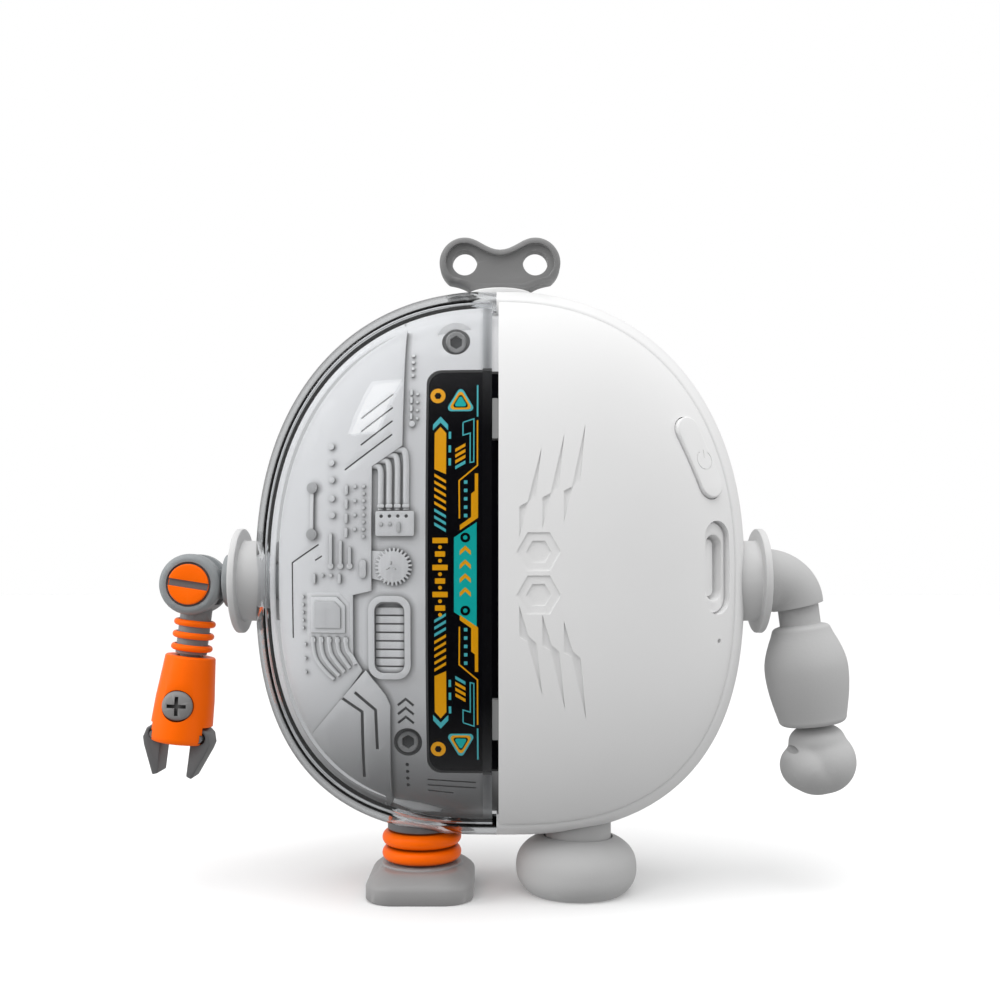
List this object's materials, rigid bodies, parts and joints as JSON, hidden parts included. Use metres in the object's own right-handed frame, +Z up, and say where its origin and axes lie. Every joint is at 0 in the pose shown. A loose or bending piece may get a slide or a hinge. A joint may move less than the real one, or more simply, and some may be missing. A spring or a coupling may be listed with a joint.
{
  "type": "humanoid robot kit",
  "caption": "Pebble-bodied desk robot with a clear half and a white half, wind-up key, jointed claw arm, soft arm and turning legs.",
  "frame": {"origin": "on the floor under the middle of the body, where the split line meets it", "axes": "+Z up, +X across the shoulders towards the white half, the face looks along -Y"},
  "size_m": [0.1061, 0.036, 0.0974],
  "materials": {
    "clear_plastic": "clear polished acrylic",
    "white_plastic": "fine satin moulded plastic",
    "panel_plastic": "satin moulded plastic with raised relief",
    "printed_strip": "dark glossy print with amber and cyan marks",
    "screw_steel": "satin steel",
    "key_grey": "satin grey plastic",
    "dark_grey": "matte dark grey plastic",
    "claw_grey": "matte near-black plastic",
    "orange": "satin orange plastic",
    "soft_grey": "soft-touch matte grey",
    "circuit_green": "solder-masked board",
    "cell_wrap": "wrapped battery cell"
  },
  "bodies": {
    "body": {"front_cover_clear": "clear_plastic", "side_band_clear": "clear_plastic", "rear_cover_clear": "clear_plastic", "front_cover_white": "white_plastic", "side_band_white": "white_plastic", "rear_cover_white": "white_plastic", "face_panel": "panel_plastic", "rear_panel": "panel_plastic", "display_plate": "printed_strip", "seam_clip_upper": "key_grey", "seam_clip_lower": "key_grey", "panel_screw_1": "screw_steel", "panel_screw_2": "screw_steel", "panel_screw_3": "screw_steel", "panel_screw_4": "screw_steel", "gear_wheel": "panel_plastic", "vent_frame": "panel_plastic", "connector_block": "panel_plastic", "chip_block": "panel_plastic", "battery_cell": "cell_wrap", "main_board": "circuit_green", "usb_socket": "white_plastic", "power_switch": "claw_grey", "key_bush": "white_plastic", "shoulder_disc_left": "white_plastic", "shoulder_disc_right": "white_plastic", "hip_socket_left": "white_plastic", "hip_socket_right": "white_plastic"},
    "button": {"power_button": "white_plastic"},
    "key": {"wind_key": "key_grey"},
    "left_upper_arm": {"upper_arm_left": "dark_grey"},
    "left_forearm": {"forearm_left": "dark_grey", "elbow_pin_left": "orange", "forearm_ring_1": "orange", "forearm_ring_2": "orange", "forearm_ring_3": "orange"},
    "left_barrel": {"barrel_left": "orange", "barrel_screw_left": "key_grey", "claw_pin_outer": "screw_steel", "claw_pin_inner": "screw_steel"},
    "left_claw_outer": {"claw_outer": "claw_grey"},
    "left_claw_inner": {"claw_inner": "claw_grey"},
    "right_upper_arm": {"upper_arm_right": "soft_grey"},
    "right_forearm": {"forearm_right": "soft_grey"},
    "right_hand": {"hand_right": "soft_grey"},
    "left_leg": {"leg_left": "dark_grey", "leg_ring_upper": "orange", "leg_ring_lower": "orange", "foot_left": "dark_grey"},
    "right_leg": {"leg_right": "soft_grey", "foot_right": "soft_grey"}
  },
  "joints": [
    {"name": "button_press", "type": "slide", "parent": "body", "child": "button", "axis": [-0.5352, 0.8218, -0.1953], "range_m": [0, 0.0004], "stiffness_N_per_m": 800},
    {"name": "key_turn", "type": "hinge", "parent": "body", "child": "key", "pos_m": [0, 0, 0.09], "axis": [0, 0, 1], "continuous": true},
    {"name": "shoulder_left", "type": "hinge", "parent": "body", "child": "left_upper_arm", "pos_m": [-0.0392, 0, 0.0462], "axis": [-1, 0, 0], "continuous": true},
    {"name": "elbow_left", "type": "hinge", "parent": "left_upper_arm", "child": "left_forearm", "pos_m": [-0.0457, 0, 0.0457], "axis": [0, 1, 0], "range_deg": [-7, 95]},
    {"name": "wrist_left", "type": "hinge", "parent": "left_forearm", "child": "left_barrel", "pos_m": [-0.04637, 0, 0.035], "axis": [0.1271, 0, 0.9919], "continuous": true},
    {"name": "claw_outer_pinch", "type": "hinge", "parent": "left_barrel", "child": "left_claw_outer", "pos_m": [-0.05115, 0, 0.02361], "axis": [0, 1, 0], "range_deg": [-18, 12]},
    {"name": "claw_inner_pinch", "type": "hinge", "parent": "left_barrel", "child": "left_claw_inner", "pos_m": [-0.0446, 0, 0.02278], "axis": [0, 1, 0], "range_deg": [-12, 18]},
    {"name": "shoulder_right", "type": "hinge", "parent": "body", "child": "right_upper_arm", "pos_m": [0.0392, 0, 0.0462], "axis": [-1, 0, 0], "continuous": true},
    {"name": "forearm_twist_right", "type": "hinge", "parent": "right_upper_arm", "child": "right_forearm", "pos_m": [0.04505, 0, 0.0395], "axis": [-0.1295, 0, 0.9916], "continuous": true},
    {"name": "wrist_right", "type": "hinge", "parent": "right_forearm", "child": "right_hand", "pos_m": [0.04697, 0, 0.02482], "axis": [-0.1295, 0, 0.9916], "continuous": true},
    {"name": "hip_left", "type": "hinge", "parent": "body", "child": "left_leg", "pos_m": [-0.0117, 0, 0.011], "axis": [0, 0, 1], "continuous": true},
    {"name": "hip_right", "type": "hinge", "parent": "body", "child": "right_leg", "pos_m": [0.0117, 0, 0.011], "axis": [0, 0, 1], "continuous": true}
  ],
  "couplings": [
    {"joint": "claw_inner_pinch", "follows": "claw_outer_pinch", "ratio": -1}
  ]
}
